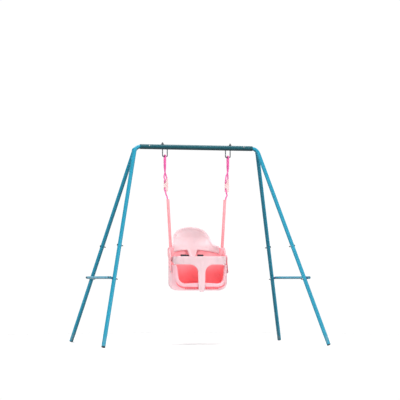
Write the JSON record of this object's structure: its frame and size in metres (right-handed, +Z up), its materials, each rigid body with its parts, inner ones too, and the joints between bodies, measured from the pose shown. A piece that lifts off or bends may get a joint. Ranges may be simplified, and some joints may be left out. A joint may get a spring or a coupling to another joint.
{
  "type": "toddler swing set",
  "caption": "Free-standing steel-tube swing frame with a hanging bucket seat, lift-up T-bar guard, twin ropes with length adjusters, and soft grip tubes.",
  "frame": {"origin": "on the floor, in the middle of the four feet", "axes": "+X along the top beam, to the right as seen from the front of the seat; +Y from the front of the seat to its back; +Z up"},
  "size_m": [1.3934, 1.0202, 1.234],
  "materials": {
    "leg_paint": "gloss",
    "beam_paint": "gloss",
    "zinc_steel": "satin",
    "dark_steel": "satin",
    "dark_plug": "matte",
    "cap_plastic": "matte",
    "spacer_plastic": "matte",
    "rope_yarn": "matte",
    "adjuster_plastic": "satin",
    "grip_plastic": "satin",
    "shell_plastic": "gloss",
    "liner_plastic": "satin"
  },
  "bodies": {
    "frame": {"top_beam": "beam_paint", "beam_screws": "zinc_steel", "beam_sleeve_left": "dark_plug", "front_upper_leg_left": "leg_paint", "rear_upper_leg_left": "leg_paint", "front_lower_leg_left": "leg_paint", "foot_plug_front_left": "dark_plug", "rear_lower_leg_left": "leg_paint", "foot_plug_rear_left": "dark_plug", "beam_sleeve_right": "dark_plug", "front_upper_leg_right": "leg_paint", "rear_upper_leg_right": "leg_paint", "front_lower_leg_right": "leg_paint", "foot_plug_front_right": "dark_plug", "rear_lower_leg_right": "leg_paint", "foot_plug_rear_right": "dark_plug", "leg_bolts": "dark_steel", "leg_nuts": "zinc_steel", "side_brace_left": "leg_paint", "side_brace_right": "leg_paint", "brace_end_caps": "cap_plastic", "brace_spacers": "spacer_plastic", "brace_bolts": "dark_steel", "brace_nuts": "zinc_steel", "hanger_left": "zinc_steel", "hanger_right": "zinc_steel", "hanger_washers": "dark_plug", "hanger_nuts": "zinc_steel"},
    "swing": {"rope_left": "rope_yarn", "rope_knot_left": "rope_yarn", "rope_adjuster_left": "adjuster_plastic", "grip_tube_left": "grip_plastic", "rope_right": "rope_yarn", "rope_knot_right": "rope_yarn", "rope_adjuster_right": "adjuster_plastic", "grip_tube_right": "grip_plastic", "seat_shell": "shell_plastic", "seat_liner": "liner_plastic", "front_rim": "shell_plastic", "liner_skirt": "liner_plastic", "backrest": "shell_plastic", "pivot_pin_left": "zinc_steel", "side_bracket_left": "liner_plastic", "pivot_pin_right": "zinc_steel", "side_bracket_right": "liner_plastic", "bracket_screws": "zinc_steel"},
    "guard": {"t_bar_guard": "shell_plastic"}
  },
  "joints": [
    {"name": "swing_pivot", "type": "hinge", "parent": "frame", "child": "swing", "pos_m": [0, 0, 1.147], "axis": [1, 0, 0], "range_deg": [-45, 45]},
    {"name": "guard_lift", "type": "hinge", "parent": "swing", "child": "guard", "pos_m": [0, -0.038, 0.52], "axis": [-1, 0, 0], "range_deg": [0, 85]}
  ]
}
